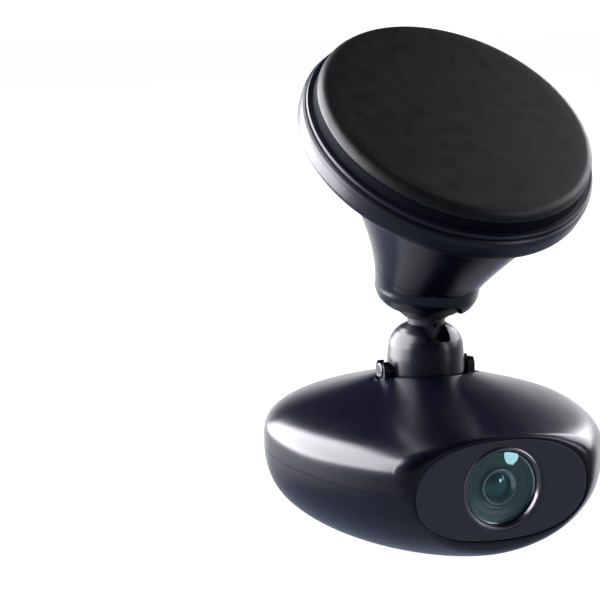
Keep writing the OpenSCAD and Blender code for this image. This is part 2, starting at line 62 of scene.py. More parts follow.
# ---- Sizes in mm, as in the CAD source ----

HEAD_R, NOSE, BACK, FACE_Y = 42.5, 57.7, 40.0, 45.9
WAIST_Z, SEAM_Z, BASE_Z, LENS_Z = 22.7, 20.5, 0.4, 20.7
SHOULDER_H, CONE_H, BOWL_D, WALL = 10.7, 9.6, 25, 2.0
NOSE_LIFT, LIFT_FROM = 1.6, 8
FOOT_R, FOOT_Z = 21.6, 1.4
PANEL_A, PANEL_B, PANEL_N, PANEL_Z = 22.0, 12.1, 2.35, 20.4
SEAT_Y, LENS_HOLE_R, LENS_HOLE_Y = 43.75, 11.0, 38.5
PIN_Z, POCKET_R, POCKET_WALL = 39.6, 10.6, 1.6
BALL_Z, BALL_R, STEM_R = 61.0, 8.8, 4.85
MOUNT_TURN, SOCKET_LEAN, SEAM_LEAN = 7.1, 12.0, 26.0
PAD_Z, PAD_FORWARD, PAD_TILT, DISC_H = 105.5, 14.07, 37.9, 12.7
SEAT_R, CAP_BORE_R = 10.55, 10.9
PLATE_TOP = -6.6


# ---- Placing ----

def move(x, y, z):
    m = np.eye(4)
    m[:3, 3] = (x, y, z)
    return m


def turn(deg, i, j):
    """A turn in the plane of axes i and j."""
    c, s = math.cos(math.radians(deg)), math.sin(math.radians(deg))
    m = np.eye(4)
    m[i, i], m[i, j], m[j, i], m[j, j] = c, -s, s, c
    return m


def turn_x(deg):
    return turn(deg, 1, 2)


def turn_y(deg):
    return turn(deg, 2, 0)


def turn_z(deg):
    return turn(deg, 0, 1)


def put(m, pts):
    return np.asarray(pts, float) @ m[:3, :3].T + m[:3, 3]


AT_PAD = turn_z(MOUNT_TURN) @ move(0, -PAD_FORWARD, PAD_Z) @ turn_x(PAD_TILT)
AT_LENS = move(0, -FACE_Y, LENS_Z) @ turn_x(-90)


# ---- Mesh making ----

class Skin:
    """Rings of points in mm, joined into faces."""

    def __init__(self):
        self.v, self.f = [], []

    def ring(self, pts):
        first = len(self.v)
        self.v.extend(tuple(p) for p in pts)
        return list(range(first, len(self.v)))

    def join(self, a, b):
        n = len(a)
        for i in range(n):
            j = (i + 1) % n
            self.f.append((a[i], a[j], b[j], b[i]))

    def rings(self, many):
        made = [self.ring(r) for r in many]
        for a, b in zip(made, made[1:]):
            self.join(a, b)
        return made

    def close(self, ring, point):
        tip = len(self.v)
        self.v.append(tuple(point))
        n = len(ring)
        for i in range(n):
            self.f.append((ring[i], ring[(i + 1) % n], tip))


def clean(bm):
    bmesh.ops.remove_doubles(bm, verts=bm.verts, dist=1e-6)
    bmesh.ops.dissolve_degenerate(bm, edges=bm.edges, dist=1e-7)
    bmesh.ops.recalc_face_normals(bm, faces=bm.faces)


def new_bmesh(skin):
    bm = bmesh.new()
    vs = [bm.verts.new(Vector(p) * MM) for p in skin.v]
    for f in skin.f:
        try:
            bm.faces.new([vs[i] for i in f])
        except ValueError:
            pass  # two points of the face coincide
    clean(bm)
    return bm


def to_object(name, bm):
    me = bpy.data.meshes.new(name)
    bm.to_mesh(me)
    bm.free()
    ob = bpy.data.objects.new(name, me)
    bpy.context.scene.collection.objects.link(ob)
    return ob


def finish_mesh(ob, sharp):
    bm = bmesh.new()
    bm.from_mesh(ob.data)
    clean(bm)
    limit = math.radians(sharp)
    for e in bm.edges:
        e.smooth = len(e.link_faces) == 2 and e.calc_face_angle(0) < limit
    for f in bm.faces:
        f.smooth = True
    bm.to_mesh(ob.data)
    bm.free()


def boolean(ob, *steps):
    """Applies (operation, tool) pairs in turn and throws the tools away."""
    for operation, tool in steps:
        mod = ob.modifiers.new("cut", "BOOLEAN")
        mod.operation = operation
        mod.solver = "EXACT"
        mod.object = tool
    dg = bpy.context.evaluated_depsgraph_get()
    me = bpy.data.meshes.new_from_object(ob.evaluated_get(dg))
    ob.modifiers.clear()
    ob.data = me
    for _, tool in steps:
        bpy.data.objects.remove(tool)
    return ob


def piece(ob, body, slot, material, *replaced, sharp=32):
    finish_mesh(ob, sharp)
    ob.data.materials.clear()
    ob.data.materials.append(material)
    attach(ob, body)
    if replaced:
        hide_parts(*replaced)
    return ob


def rounded(profile, steps=5):
    """A profile of (r, h, edge radius), with each corner turned into an arc."""
    out = []
    n = len(profile)
    for i, p in enumerate(profile):
        rad = p[2] if len(p) > 2 else 0
        here = np.array(p[:2], float)
        if not rad or i in (0, n - 1):
            out.append(tuple(here))
            continue
        a = np.array(profile[i - 1][:2], float) - here
        b = np.array(profile[i + 1][:2], float) - here
        la, lb = np.linalg.norm(a), np.linalg.norm(b)
        a, b = a / la, b / lb
        half = math.acos(max(-1, min(1, float(a @ b)))) / 2
        cut = min(rad / math.tan(half), la * 0.49, lb * 0.49)
        rad = cut * math.tan(half)
        mid = here + (a + b) / np.linalg.norm(a + b) * rad / math.sin(half)
        start, end = here + a * cut - mid, here + b * cut - mid
        span = math.acos(max(-1, min(1, float(start @ end) / rad ** 2)))
        for k in range(steps + 1):
            t = k / steps
            v = (start * math.sin((1 - t) * span) + end * math.sin(t * span)) / math.sin(span)
            out.append(tuple(mid + v))
    return out


def lathe_skin(profile, m, count=128, arcs=5):
    """Turns a profile about the local Z axis. It closes at radius 0, or else on itself."""
    pts = rounded(profile, arcs)
    skin = Skin()
    ang = np.linspace(0, 2 * math.pi, count, endpoint=False)
    made = []
    for r, h in pts:
        if r < 1e-6:
            made.append(put(m, [(0, 0, h)])[0])
        else:
            made.append(skin.ring(put(m, np.stack([r * np.cos(ang), r * np.sin(ang),
                                                   np.full(count, h)], 1))))
    for a, b in zip(made, made[1:]):
        if isinstance(a, list) and isinstance(b, list):
            skin.join(a, b)
        elif isinstance(a, list):
            skin.close(a, b)
        else:
            skin.close(b, a)
    if isinstance(made[0], list) and isinstance(made[-1], list):
        skin.join(made[-1], made[0])
    return skin


def lathe(name, profile, m, count=128, arcs=5):
    return to_object(name, new_bmesh(lathe_skin(profile, m, count, arcs)))


def box(name, lo, hi):
    skin = Skin()
    a, b = skin.rings([[(lo[0], lo[1], z), (hi[0], lo[1], z), (hi[0], hi[1], z), (lo[0], hi[1], z)]
                       for z in (lo[2], hi[2])])
    skin.f += [tuple(reversed(a)), tuple(b)]
    return to_object(name, new_bmesh(skin))


def rounded_box(name, lo, hi, bevel):
    ob = box(name, lo, hi)
    bm = bmesh.new()
    bm.from_mesh(ob.data)
    bmesh.ops.bevel(bm, geom=bm.edges, offset=bevel * MM, segments=3, profile=0.5, affect="EDGES")
    bm.to_mesh(ob.data)
    bm.free()
    return ob


def cylinder(name, p, q, r, count=64):
    """A plain cutter from p to q."""
    p, q = np.array(p, float), np.array(q, float)
    axis = Vector(q - p)
    rot = np.eye(4)
    rot[:3, :3] = np.array(axis.to_track_quat("Z", "Y").to_matrix())
    m = move(*p) @ rot
    return lathe(name, [(0, 0), (r, 0), (r, axis.length), (0, axis.length)], m, count)


# ---- Head outline ----

PLAN_N, BOWL_N, SHOULDER_N, CONE_N = 1.83, 2.5, 3.2, 2


def plan_r(c, s, inset=0.0):
    """Radius of the widest outline, in the direction of cosine c and sine s."""
    b = np.where(s < 0, NOSE - 1.3 * inset, BACK - inset)
    return (np.abs(c / (HEAD_R - inset)) ** PLAN_N + np.abs(s / b) ** PLAN_N) ** (-1 / PLAN_N)


def share(x, y, inset=0.0):
    """How far out a point lies, from 0 at the middle to 1 at the widest outline."""
    r = np.hypot(x, y)
    r_safe = np.maximum(r, 1e-9)
    return r / plan_r(x / r_safe, y / r_safe, inset)


def z_top(rho):
    c = np.clip(rho, 0, 1) ** (SHOULDER_N / 2)
    cone = CONE_H * (1 - np.clip(rho, 0, 1)) ** CONE_N
    return WAIST_Z + SHOULDER_H * (1 - c * c) ** (1 / SHOULDER_N) + cone


def z_low(rho):
    return WAIST_Z - BOWL_D * (1 - np.clip(rho, 0, 1) ** BOWL_N) ** (1 / BOWL_N)


def lift(y, z):
    """The nose rises a little toward the front."""
    f = np.clip((-y - LIFT_FROM) / (FACE_Y - LIFT_FROM), 0, 1)
    return z + NOSE_LIFT * f * f * np.clip((z - BASE_Z) / 10, 0, 1)


def drop(y, z):
    """Undoes lift."""
    low = z
    for _ in range(8):
        low = z - (lift(y, low) - low)
    return low


def in_head(x, y, z):
    rho, low = share(x, y), drop(y, z)
    return (rho < 1) & (low < z_top(rho)) & (low > np.maximum(z_low(rho), BASE_Z))


def reach(phi, far, inside):
    """The largest radius below far that is still inside, for each angle of phi."""
    lo, hi = np.zeros_like(phi), np.full_like(phi, far)
    for _ in range(34):
        mid = (lo + hi) / 2
        held = inside(mid)
        lo, hi = np.where(held, mid, lo), np.where(held, hi, mid)
    return lo


def face_reach(phi, y):
    """How far the head's surface lies from the lens axis, at angle phi in the plane of y."""
    return reach(phi, 60.0, lambda r: in_head(r * np.cos(phi), y, LENS_Z + r * np.sin(phi)))


def by_length(f, lo, hi, count, sharp=2.0):
    """Parameters between lo and hi that space the points of f evenly."""
    u = lo + (hi - lo) * np.linspace(0, 1, 4000) ** sharp
    p = np.array([f(x) for x in u])
    d = np.concatenate([[0], np.cumsum(np.linalg.norm(np.diff(p, axis=0), axis=1))])
    return np.interp(np.linspace(0, d[-1], count), d, u)


def head_rings(inset, lip, count=240):
    """Level rings from the foot, round the waist, to a round lip at the top."""
    th = np.linspace(0, 2 * math.pi, count, endpoint=False) + math.pi / count
    c, s = np.cos(th), np.sin(th)
    plan = plan_r(c, s, inset)
    low = BASE_Z + inset

    def at(rho, z):
        x, y = rho * plan * c, rho * plan * s
        return np.stack([x, y, lift(y, np.full(count, z))], 1)

    def bowl_rho(z):
        return (1 - ((WAIST_Z - z) / BOWL_D) ** BOWL_N) ** (1 / BOWL_N)

    rings = [at(bowl_rho(z), z + inset)
             for z in by_length(lambda z: (HEAD_R * bowl_rho(z), z), BASE_Z, WAIST_Z, 34, 1.0)]
    if inset:
        rings = [r for r in rings if r[:, 2].max() < WAIST_Z - 1.3 * inset]
    q_lip = lip / HEAD_R

    def top(t):
        rho = math.cos(t) ** (2 / SHOULDER_N)
        return (HEAD_R * rho, float(z_top(np.float64(rho))))

    t_end = math.acos(q_lip ** (SHOULDER_N / 2))
    for t in by_length(top, 1e-5, t_end, 58)[(0 if inset else 1):]:
        rho = math.cos(t) ** (2 / SHOULDER_N)
        q = (rho - q_lip) / (1 - q_lip)
        r = lip + (plan - lip) * q
        x, y = r * c, r * s
        rings.append(np.stack([x, y, lift(y, z_top(share(x, y, inset)) - inset)], 1))
    return th, rings


def bowl_level(r, radius):
    """Height of a bowl about the hinge axis, at distance r from the middle."""
    return PIN_Z - math.sqrt(radius ** 2 - r * r)


def circle(th, r, z):
    return np.stack([r * np.cos(th), r * np.sin(th), np.full(len(th), float(z))], 1)


def head_solid():
    """The closed outside of the head: foot seat, bowl, shoulder, pocket lip and pocket."""
    lip_w = 0.55
    lip = POCKET_R + lip_w
    th, rings = head_rings(0, lip)
    skin = Skin()
    foot = [circle(th, 8, FOOT_Z), circle(th, FOOT_R, FOOT_Z), circle(th, FOOT_R, BASE_Z + 0.15),
            circle(th, FOOT_R + 0.15, BASE_Z)]
    # The lip turns over from the shoulder into the pocket.
    edge = rings[-1]
    z0 = edge[:, 2]
    turn = []
    for k in range(1, 6):
        a = math.radians(90 * k / 5)
        r = lip - lip_w * math.sin(a)
        turn.append(np.stack([r * np.cos(th), r * np.sin(th),
                              z0 + 0.12 * math.sin(a) - lip_w * (1 - math.cos(a))], 1))
    depth = []
    for k in range(1, 16):
        r = POCKET_R * math.cos(math.radians(5.8 * k))
        depth.append(circle(th, r, bowl_level(r, POCKET_R)))
    top = turn[-1]
    depth = [d for d in depth if d[0, 2] < top[:, 2].min() - 0.2]
    made = skin.rings(foot + rings + turn + depth)
    skin.close(made[0], (0, 0, FOOT_Z))
    skin.close(made[-1], (0, 0, PIN_Z - POCKET_R))
    return new_bmesh(skin)


def panel_r(phi, grow):
    """Distance from the lens axis to the panel's outline, whose own centre lies a little lower."""
    a, b, down = PANEL_A + grow, PANEL_B + grow, LENS_Z - PANEL_Z

    def inside(r):
        across = np.abs(r * np.cos(phi) / a) ** PANEL_N
        up = np.abs((r * np.sin(phi) + down) / b) ** PANEL_N
        return (across + up) < 1

    return reach(phi, 40.0, inside)


def slice_nose(bm, y):
    geom = bm.verts[:] + bm.edges[:] + bm.faces[:]
    bmesh.ops.bisect_plane(bm, geom=geom, plane_co=(0, y * MM, 0), plane_no=(0, -1, 0),
                           clear_outer=True, dist=1e-7)


def cut_front(bm, y_cut):
    """Cuts the nose off, then builds the rounded rim, the panel's seat and the lens hole."""
    slice_nose(bm, y_cut)
    rim = [e for e in bm.edges if len(e.link_faces) == 1]
    loop = [rim[0].verts[0]]
    seen = {rim[0].verts[0]}
    nxt = {}
    for e in rim:
        for v in e.verts:
            nxt.setdefault(v, []).append(e.other_vert(v))
    while True:
        more = [v for v in nxt[loop[-1]] if v not in seen]
        if not more:
            break
        loop.append(more[0])
        seen.add(more[0])
    co = np.array([v.co for v in loop]) / MM
    phi = np.arctan2(co[:, 2] - LENS_Z, co[:, 0])
    seat = panel_r(phi, 0.16)
    corner = face_reach(phi, -FACE_Y)
    width = corner - seat
    depth = np.clip(width * 1.1, 0.7, y_cut + FACE_Y - 0.15)
    rows = []
    steps = 4
    for k in range(1, steps + 1):
        y = y_cut + (-FACE_Y + depth - y_cut) * k / steps
        reaches = [float(face_reach(phi[i:i + 1], yy)[0]) for i, yy in enumerate(y)]
        rows.append((np.array(reaches), y))
    r_in, y_in = rows[-1]
    stop = seat + 0.14
    for k in range(1, 9):
        # The roll leaves the head's own curve smoothly and ends flat in the face.
        t = k / 8
        y = (1 - t) ** 2 * y_in + (1 - (1 - t) ** 2) * -FACE_Y
        rows.append(((1 - t) ** 2 * r_in + 2 * t * (1 - t) * corner + t * t * stop, y))
    rows.append((seat + 0.04, np.full_like(seat, -FACE_Y + 0.04)))
    rows.append((seat, np.full_like(seat, -FACE_Y + 0.14)))
    rows.append((seat, np.full_like(seat, -SEAT_Y)))
    rows.append((np.full_like(seat, LENS_HOLE_R), np.full_like(seat, -SEAT_Y)))
    rows.append((np.full_like(seat, LENS_HOLE_R), np.full_like(seat, -LENS_HOLE_Y)))
    last = loop
    n = len(loop)
    for r, y in rows:
        ring = []
        for i in range(n):
            at = (r[i] * math.cos(phi[i]), y[i], LENS_Z + r[i] * math.sin(phi[i]))
            ring.append(bm.verts.new(Vector(at) * MM))
        for i in range(n):
            j = (i + 1) % n
            bm.faces.new((last[i], last[j], ring[j], ring[i]))
        last = ring
    bm.faces.new(last)
    bmesh.ops.recalc_face_normals(bm, faces=bm.faces)
    return bm


def cavity_solid():
    """The space inside the shells, one wall in, clear of the pocket's bowl."""
    floor = BASE_Z + WALL
    th, rings = head_rings(WALL, 14.5, 120)
    skin = Skin()
    bowl_r = POCKET_R + POCKET_WALL
    inner = []
    for r in (13.6, 12.9, 12.4):
        x, y = r * np.cos(th), r * np.sin(th)
        inner.append(np.stack([x, y, z_top(share(x, y, WALL)) - WALL], 1))
    for k in range(1, 9):
        r = bowl_r * math.cos(math.radians(11 * k))
        inner.append(circle(th, r, min(bowl_level(r, bowl_r), 36.0)))
    made = skin.rings([circle(th, 10, floor)] + rings + inner)
    skin.close(made[0], (0, 0, floor))
    skin.close(made[-1], (0, 0, PIN_Z - bowl_r))
    bm = new_bmesh(skin)
    slice_nose(bm, -42.6)
    bmesh.ops.holes_fill(bm, edges=[e for e in bm.edges if len(e.link_faces) == 1])
    bmesh.ops.recalc_face_normals(bm, faces=bm.faces)
    return bm


# ---- Neck outline, shared by the collar and the neck ----

PLATE_MID = np.array([0, -PAD_FORWARD + DISC_H * math.sin(math.radians(PAD_TILT)),
                      PAD_Z - DISC_H * math.cos(math.radians(PAD_TILT))])
BALL = np.array([0, 0, BALL_Z])


def neck_point(t, u, inset=0.0):
    """A point of the neck's surface before the mount's turn: t runs from the ball to the plate."""
    tt = max(0.0, t)
    mid = BALL + (PLATE_MID - BALL) * t - np.array([0, 5.1 * 4 * tt * (1 - t), 0])
    r = 13.5 + 19.3 * tt ** 1.3 - inset
    a = math.radians(2 + (PAD_TILT - 2) * t)
    return mid + r * np.array([math.cos(u), math.sin(u) * math.cos(a), math.sin(u) * math.sin(a)])


def passing(lo, hi, f, origin, normal):
    """The value between lo and hi at which the point f(value) passes a plane."""
    for _ in range(40):
        mid = (lo + hi) / 2
        if float((f(mid) - origin) @ normal) < 0:
            lo = mid
        else:
            hi = mid
    return (lo + hi) / 2


def crossing(u, origin, normal):
    """The t at which the neck's line at angle u passes a plane."""
    return passing(-0.25, 0.7, lambda t: neck_point(t, u), origin, normal)


def leaning(deg):
    """The upward direction, leaned toward the front."""
    a = math.radians(deg)
    return np.array([0, -math.sin(a), math.cos(a)])


SEAM_AT = BALL + np.array([0, 0, 5.6])


def socket_point(u, r, h):
    """A point about the socket's leaning axis, before the mount's turn."""
    return BALL + turn_x(SOCKET_LEAN)[:3, :3] @ np.array([r * math.cos(u), r * math.sin(u), h])


def bore_point(u, h, r=CAP_BORE_R):
    """A point of the collar's bore before the mount's turn."""
    return socket_point(u, r, h)


def closed_columns(cols):
    """A skin of rings through the columns' points, with the mount's turn."""
    skin = Skin()
    m = turn_z(MOUNT_TURN)
    return skin, skin.rings([put(m, [c[k] for c in cols]) for k in range(len(cols[0]))])


def bore_at_plane(u, origin, normal):
    return bore_point(u, passing(-5.0, 16.0, lambda h: bore_point(u, h), origin, normal))


NECK_ANGLES = np.linspace(0, 2 * math.pi, 192, endpoint=False)


def collar_object():
    rim = rounded([(9.34, -4.9), (9.9, -4.9, 0.1), (11.2, -4.4, 0.9), (12.3, -3.3, 1.2),
                   (13.05, -1.8, 2.0), (13.35, -0.8)], 5)[1:]
    axis = turn_x(SOCKET_LEAN)[:3, :3] @ np.array([0, 0, 1.0])
    start = BALL + axis * -0.8
    seam_n = leaning(SEAM_LEAN)
    cols = []
    for u in NECK_ANGLES:
        col = [socket_point(u, r, h) for r, h in rim]
        t0 = crossing(u, start, axis)
        t1 = crossing(u, SEAM_AT - seam_n * 0.07, seam_n)
        gap = col[-1] - neck_point(t0, u)
        for k in range(1, 9):
            s = k / 8
            col.append(neck_point(t0 + (t1 - t0) * s, u) + gap * (1 - s) ** 2)
        # A small step at the joint keeps a crisp dark line.
        col.append(neck_point(t1 + 0.0005, u, 0.25) + seam_n * 0.02)
        col.append(bore_at_plane(u, SEAM_AT - seam_n * 0.05, seam_n))
        col.append(bore_point(u, 0.0))
        for k in range(0, 9):
            a = math.radians(90 - 27.7 * k / 8)
            col.append(bore_point(u, -SEAT_R * math.cos(a), SEAT_R * math.sin(a)))
        cols.append(col)
    skin, made = closed_columns(cols)
    skin.join(made[-1], made[0])
    ob = to_object("collar", new_bmesh(skin))
    across = move(0, 0, BALL_Z) @ turn_z(MOUNT_TURN) @ turn_x(SOCKET_LEAN - 62)
    tool = cylinder("notch", put(across, [(0, 0, -22)])[0], put(across, [(0, 0, 0)])[0], 5.3, 96)
    return boolean(ob, ("DIFFERENCE", tool))


def neck_object():
    seam_n = leaning(SEAM_LEAN)
    top_n = leaning(PAD_TILT)
    wall = 2.4
    top = DISC_H + PLATE_TOP - 2.0 - 0.1
    cols = []
    for u in NECK_ANGLES:
        t1 = crossing(u, SEAM_AT + seam_n * 0.07, seam_n)
        col = [bore_at_plane(u, SEAM_AT + seam_n * 0.05, seam_n), neck_point(t1 - 0.0005, u, 0.25)]
        for k in range(0, 41):
            s = k / 40
            col.append(neck_point(t1 + (1 - t1) * s, u))
        end = neck_point(1.0, u)
        col.append(end + top_n * top)
        inner = neck_point(1.0, u, wall)
        col.append(inner + top_n * top)
        for k in range(0, 9):
            col.append(neck_point(1.0 - 0.54 * k / 8, u, wall))
        cols.append(col)
    skin, made = closed_columns(cols)
    m = turn_z(MOUNT_TURN)
    floor = np.mean([c[-1] for c in cols], axis=0)
    skin.close(made[-1], put(m, [floor])[0])
    deep = skin.ring(put(m, [bore_point(u, 15.0) for u in NECK_ANGLES]))
    skin.join(deep, made[0])
    skin.close(deep, put(m, [bore_point(0, 15.0, 0)])[0])
    return to_object("neck", new_bmesh(skin))


# ---- Finishes ----

def shader(name):
    mat = bpy.data.materials.new(name)
    mat.use_nodes = True
    nt = mat.node_tree
    return mat, nt, nt.nodes["Principled BSDF"]


def node(nt, kind, **values):
    n = nt.nodes.new(kind)
    for key, value in values.items():
        if hasattr(n, key):
            setattr(n, key, value)
        else:
            n.inputs[key.replace("_", " ")].default_value = value
    return n


def noise(nt, scale, detail=4.0, rough=0.5, stretch=(1, 1, 1), coords="Object"):
    tc = node(nt, "ShaderNodeTexCoord")
    mp = node(nt, "ShaderNodeMapping")
    mp.inputs["Scale"].default_value = [scale * s for s in stretch]
    nt.links.new(tc.outputs[coords], mp.inputs["Vector"])
    nz = node(nt, "ShaderNodeTexNoise")
    nz.inputs["Scale"].default_value = 1.0
    nz.inputs["Detail"].default_value = detail
    nz.inputs["Roughness"].default_value = rough
    nt.links.new(mp.outputs["Vector"], nz.inputs["Vector"])
    return nz.outputs["Fac"]


def spread(nt, value, lo, hi, a=0.3, b=0.7):
    r = node(nt, "ShaderNodeMapRange")
    r.inputs["From Min"].default_value = a
    r.inputs["From Max"].default_value = b
    r.inputs["To Min"].default_value = lo
    r.inputs["To Max"].default_value = hi
    nt.links.new(value, r.inputs["Value"])
    return r.outputs["Result"]


def blend_colour(nt, fac, a, b):
    mix = node(nt, "ShaderNodeMix", data_type="RGBA")
    nt.links.new(fac, mix.inputs[0])
    for socket, colour in ((mix.inputs[6], a), (mix.inputs[7], b)):
        if isinstance(colour, (tuple, list)):
            socket.default_value = (*colour[:3], 1)
        else:
            nt.links.new(colour, socket)
    return mix.outputs[2]


def bump(nt, height, strength, distance, after=None):
    b = node(nt, "ShaderNodeBump")
    b.inputs["Strength"].default_value = strength
    b.inputs["Distance"].default_value = distance
    nt.links.new(height, b.inputs["Height"])
    if after is not None:
        nt.links.new(after, b.inputs["Normal"])
    return b.outputs["Normal"]


def moulded(name, dark, light, rough, grain=0.00025, depth=0.000008, spec=0.5, coat=0.0):
    """Moulded plastic: fine spark-eroded grain, slightly cloudy gloss and faint flow."""
    mat, nt, bsdf = shader(name)
    cloud = noise(nt, 55, 3)
    colour = blend_colour(nt, spread(nt, cloud, 0, 1), dark, light)
    nt.links.new(colour, bsdf.inputs["Base Color"])
    smear = noise(nt, 140, 6, 0.65, (1, 1, 0.35))
    nt.links.new(spread(nt, smear, rough - 0.02, rough + 0.02), bsdf.inputs["Roughness"])
    fine = noise(nt, 1 / grain, 3, 0.6)
    wave = noise(nt, 90, 2)
    normal = bump(nt, wave, 0.1, 0.00002)
    nt.links.new(bump(nt, fine, 0.5, depth, normal), bsdf.inputs["Normal"])
    bsdf.inputs["Specular IOR Level"].default_value = spec
    bsdf.inputs["Coat Weight"].default_value = coat
    bsdf.inputs["Coat Roughness"].default_value = 0.1
    return mat


def rubber(name, dark, light, rough, grain, depth):
    """Soft rubber or gel: matt, pitted and slightly dusty."""
    mat, nt, bsdf = shader(name)
    cloud = noise(nt, 70, 5, 0.6)
    colour = blend_colour(nt, spread(nt, cloud, 0, 1), dark, light)
    speck = spread(nt, noise(nt, 3000, 1, 0.4), 0, 0.25, 0.72, 0.8)
    dusted = blend_colour(nt, speck, colour, (0.3, 0.3, 0.3))
    nt.links.new(dusted, bsdf.inputs["Base Color"])
    sheen = spread(nt, noise(nt, 300, 4), rough - 0.06, rough + 0.06)
    nt.links.new(sheen, bsdf.inputs["Roughness"])
    pits = noise(nt, 1 / grain, 4, 0.7)
    nt.links.new(bump(nt, pits, 0.6, depth), bsdf.inputs["Normal"])
    bsdf.inputs["Specular IOR Level"].default_value = 0.25
    return mat


def metal(name, colour, rough, lines=(1, 1, 1), scale=4000, depth=0.000004):
    """Metal with a drawn or turned grain."""
    mat, nt, bsdf = shader(name)
    tint = spread(nt, noise(nt, 200, 4), 0, 1)
    dim = tuple(c * 0.86 for c in colour)
    nt.links.new(blend_colour(nt, tint, dim, colour), bsdf.inputs["Base Color"])
    grain = noise(nt, scale, 3, 0.6, lines)
    nt.links.new(spread(nt, grain, rough - 0.05, rough + 0.07), bsdf.inputs["Roughness"])
    nt.links.new(bump(nt, grain, 0.5, depth), bsdf.inputs["Normal"])
    bsdf.inputs["Metallic"].default_value = 1.0
    return mat


def clear(name, colour, ior, weight=1.0):
    """Coated lens glass, with a faint bloom of roughness."""
    mat, nt, bsdf = shader(name)
    tint = spread(nt, noise(nt, 120, 3), 0, 1)
    paler = tuple(min(1, c * 1.06) for c in colour)
    nt.links.new(blend_colour(nt, tint, colour, paler), bsdf.inputs["Base Color"])
    nt.links.new(spread(nt, noise(nt, 260, 4), 0, 0.015), bsdf.inputs["Roughness"])
    bsdf.inputs["Transmission Weight"].default_value = weight
    bsdf.inputs["IOR"].default_value = ior
    bsdf.inputs["Specular Tint"].default_value = (0.5, 0.95, 1.0, 1)
    return mat


INK, INK_PALE = (0.0005, 0.0005, 0.0032), (0.0008, 0.0008, 0.0042)
M = {
    "shell": moulded("shell_plastic", INK, INK_PALE, 0.25),
    "panel": moulded("panel_plastic", (0.0125, 0.0138, 0.0250), (0.0142, 0.0158, 0.0290), 0.4,
                     grain=0.0002, depth=0.000012),
    "arm": moulded("arm_plastic", INK, INK_PALE, 0.3, spec=0.42),
    # The stud's plastic is several times lighter than the arm's: a painted sheen standing in for
    # the light the stem reflects.
    "stud": moulded("stud_plastic_painted_sheen", (0.014, 0.013, 0.020), (0.018, 0.017, 0.026), 0.4),
    "pin": moulded("pin_plastic", INK, INK_PALE, 0.22, coat=0.3),
    "mount": moulded("mount_plastic", INK, INK_PALE, 0.27, spec=0.45),
    "plate": moulded("plate_plastic", INK, INK_PALE, 0.36, spec=0.38),
    "trim": moulded("trim_plastic", (0.003, 0.003, 0.009), (0.004, 0.004, 0.011), 0.36),
    "carrier": moulded("carrier_plastic", (0.0004, 0.0004, 0.0028), (0.0006, 0.0006, 0.0038),
                       0.75, spec=0.08),
    "pad": rubber("pad_gel", (0.0012, 0.0012, 0.0010), (0.0016, 0.0016, 0.0014), 0.45,
                  0.0004, 0.00002),
    "foot": rubber("foot_rubber", (0.006, 0.006, 0.007), (0.009, 0.009, 0.010), 0.7,
                   0.0005, 0.00004),
    "bezel": metal("bezel_metal", (0.18, 0.17, 0.19), 0.28, scale=6000, depth=0.000001),
    # The baffle is dark plastic whose teal tint is a painted reflection of the lens coating's
    # sheen.
    "baffle": moulded("baffle_plastic_painted_teal_sheen", (0.0004, 0.0040, 0.0058), (0.0006, 0.0050, 0.0072), 0.4,
                      grain=0.00012, depth=0.000001, spec=0.3),
    "lens_black": moulded("lens_black", (0.003, 0.003, 0.004), (0.005, 0.005, 0.006), 0.5),
    "lens": clear("lens_glass", (0.72, 0.87, 0.90), 1.33),
    # The pupil's glass lets no light through and is near black: painted shade for the dark barrel
    # seen through the inner lens.
    "pupil": clear("pupil_glass_painted_shade", (0.004, 0.005, 0.009), 1.4, weight=0.0),
    "liner": moulded("liner_plastic", (0.012, 0.012, 0.014), (0.018, 0.018, 0.02), 0.4),
    "cradle": moulded("cradle_plastic", INK, INK_PALE, 0.26),
    "can": metal("can_steel", (0.6, 0.6, 0.6), 0.3, (1, 12, 1)),
    "card": moulded("card_plastic", (0.004, 0.004, 0.005), (0.007, 0.007, 0.008), 0.38),
    "screw": metal("screw_steel", (0.42, 0.42, 0.44), 0.33),
    "circuit": moulded("circuit_board", (0.005, 0.035, 0.02), (0.008, 0.05, 0.028), 0.35, coat=0.4),
    "chip": moulded("chip_epoxy", (0.006, 0.006, 0.006), (0.010, 0.010, 0.010), 0.5),
    "flex": moulded("flex_film", (0.2, 0.1, 0.02), (0.25, 0.13, 0.03), 0.3, coat=0.4),
    "thermal": rubber("thermal_gel", (0.13, 0.15, 0.2), (0.17, 0.19, 0.25), 0.7,
                      0.0004, 0.00003),
    "spreader": metal("spreader_metal", (0.72, 0.72, 0.73), 0.32, (1, 10, 1)),
    "capacitor": moulded("capacitor_sleeve", (0.01, 0.015, 0.07), (0.015, 0.02, 0.09), 0.28,
                         coat=0.3),
    "speaker": moulded("speaker_cone", (0.008, 0.008, 0.008), (0.012, 0.012, 0.012), 0.6),
    "spring": metal("spring_steel", (0.5, 0.5, 0.52), 0.28),
}

for entry in frame["record"]["subparts"]:
    ob = nodes[entry["node"]]
    mat = M[entry["material_slot"]]
    if not ob.material_slots:
        ob.data.materials.append(mat)
    for s in ob.material_slots:
        s.material = mat

# ---- Head ----

outer = to_object("head_outer", cut_front(head_solid(), -42.9))
shell = boolean(outer, ("DIFFERENCE", to_object("cavity", cavity_solid())))


def pin_groove(side):
    return cylinder("groove", (side * 9.2, 0, PIN_Z), (side * 15.2, 0, PIN_Z), 2.6, 96)


def jaw_slot(side):
    return box("jaw_slot", (side * 11.7 - 1.4, -3.3, 31), (side * 11.7 + 1.4, 3.3, 42))


upper = bpy.data.objects.new("upper_skin", shell.data.copy())
lower = bpy.data.objects.new("lower_skin", shell.data.copy())
for ob in (upper, lower):
    bpy.context.scene.collection.objects.link(ob)
bpy.data.objects.remove(shell)

boolean(upper, ("DIFFERENCE", box("below", (-60, -60, -5), (60, 60, SEAM_Z + 0.05))),
        ("DIFFERENCE", pin_groove(-1)), ("DIFFERENCE", pin_groove(1)),
        ("DIFFERENCE", jaw_slot(-1)), ("DIFFERENCE", jaw_slot(1)))
piece(upper, "head", "shell", M["shell"], "upper_shell")

